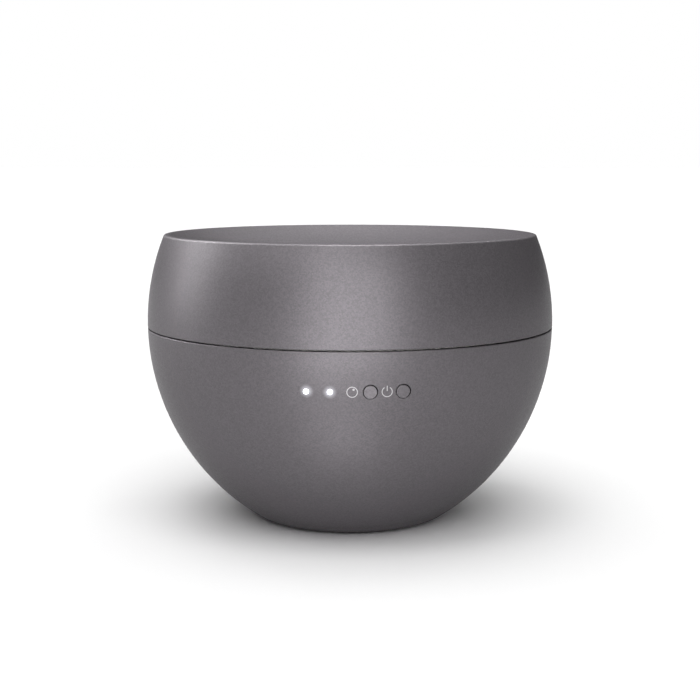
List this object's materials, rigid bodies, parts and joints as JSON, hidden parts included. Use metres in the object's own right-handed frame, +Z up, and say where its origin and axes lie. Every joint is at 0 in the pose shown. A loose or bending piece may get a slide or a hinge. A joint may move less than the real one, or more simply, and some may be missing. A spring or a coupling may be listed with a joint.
{
  "type": "essential oil diffuser",
  "caption": "Bowl-shaped ultrasonic aroma diffuser with a lift-off cover, a concave top with a mist outlet, front buttons and indicator lamps.",
  "frame": {"origin": "on the vertical axis, at the level that the rubber feet stand on", "axes": "+Z up, -Y towards the front with the buttons and lamps, +X to the right as seen from the front"},
  "size_m": [0.163, 0.163, 0.1141],
  "materials": {
    "lacquered_shell": "satin",
    "tank_plastic": "satin",
    "guide_plastic": "satin",
    "base_plastic": "matte",
    "black_plastic": "matte",
    "white_plastic": "satin",
    "clear_plastic": "gloss",
    "lamp": "gloss",
    "foam": "matte",
    "foot_rubber": "matte",
    "silicone": "satin",
    "piezo_ceramic": "satin",
    "circuit_board": "satin",
    "bare_aluminium": "satin",
    "steel": "satin",
    "nickel": "gloss",
    "bronze": "satin",
    "copper_wire": "satin",
    "lead_insulation": "satin"
  },
  "bodies": {
    "base": {"base_plate": "base_plastic", "base_screws": "steel", "board_connectors": "white_plastic", "board_screws": "steel", "button_frame": "white_plastic", "capacitors": "black_plastic", "control_board": "circuit_board", "control_connector": "white_plastic", "control_lead": "lead_insulation", "controller_chip": "black_plastic", "driver_coil": "copper_wire", "fan_bearing": "bronze", "fan_housing": "black_plastic", "fan_lead": "lead_insulation", "fan_screws": "steel", "fan_stator": "copper_wire", "frame_screws": "steel", "heat_sink": "bare_aluminium", "indicator_lamps": "lamp", "interval_switch": "black_plastic", "light_pipe": "clear_plastic", "lower_bowl": "lacquered_shell", "main_board": "circuit_board", "membrane_lead": "lead_insulation", "membrane_retainer": "black_plastic", "membrane_seal": "silicone", "power_switch": "black_plastic", "power_transistor": "black_plastic", "retainer_screws": "steel", "rubber_feet": "foot_rubber", "socket_housing": "black_plastic", "socket_nut": "nickel", "socket_pin": "nickel", "supply_lead": "lead_insulation", "tank_gasket": "foam", "tank_screws": "steel", "ultrasonic_membrane": "piezo_ceramic", "water_tank": "tank_plastic"},
    "cover": {"upper_cover": "lacquered_shell", "mist_guide": "guide_plastic"},
    "power_key": {"power_button": "lacquered_shell", "power_plunger": "white_plastic"},
    "interval_key": {"interval_button": "lacquered_shell", "interval_plunger": "white_plastic"},
    "fan_wheel": {"fan_rotor": "black_plastic", "fan_shaft": "steel"}
  },
  "joints": [
    {"name": "cover_lift", "type": "slide", "parent": "base", "child": "cover", "axis": [0, 0, 1], "range_m": [0, 0.08]},
    {"name": "power_button_press", "type": "slide", "parent": "base", "child": "power_key", "axis": [0, 1, 0], "range_m": [0, 0.00035], "stiffness_N_per_m": 3000},
    {"name": "interval_button_press", "type": "slide", "parent": "base", "child": "interval_key", "axis": [0, 1, 0], "range_m": [0, 0.00035], "stiffness_N_per_m": 3000},
    {"name": "fan_spin", "type": "hinge", "parent": "base", "child": "fan_wheel", "pos_m": [0, 0, 0.0105], "axis": [0, 0, 1], "continuous": true}
  ]
}
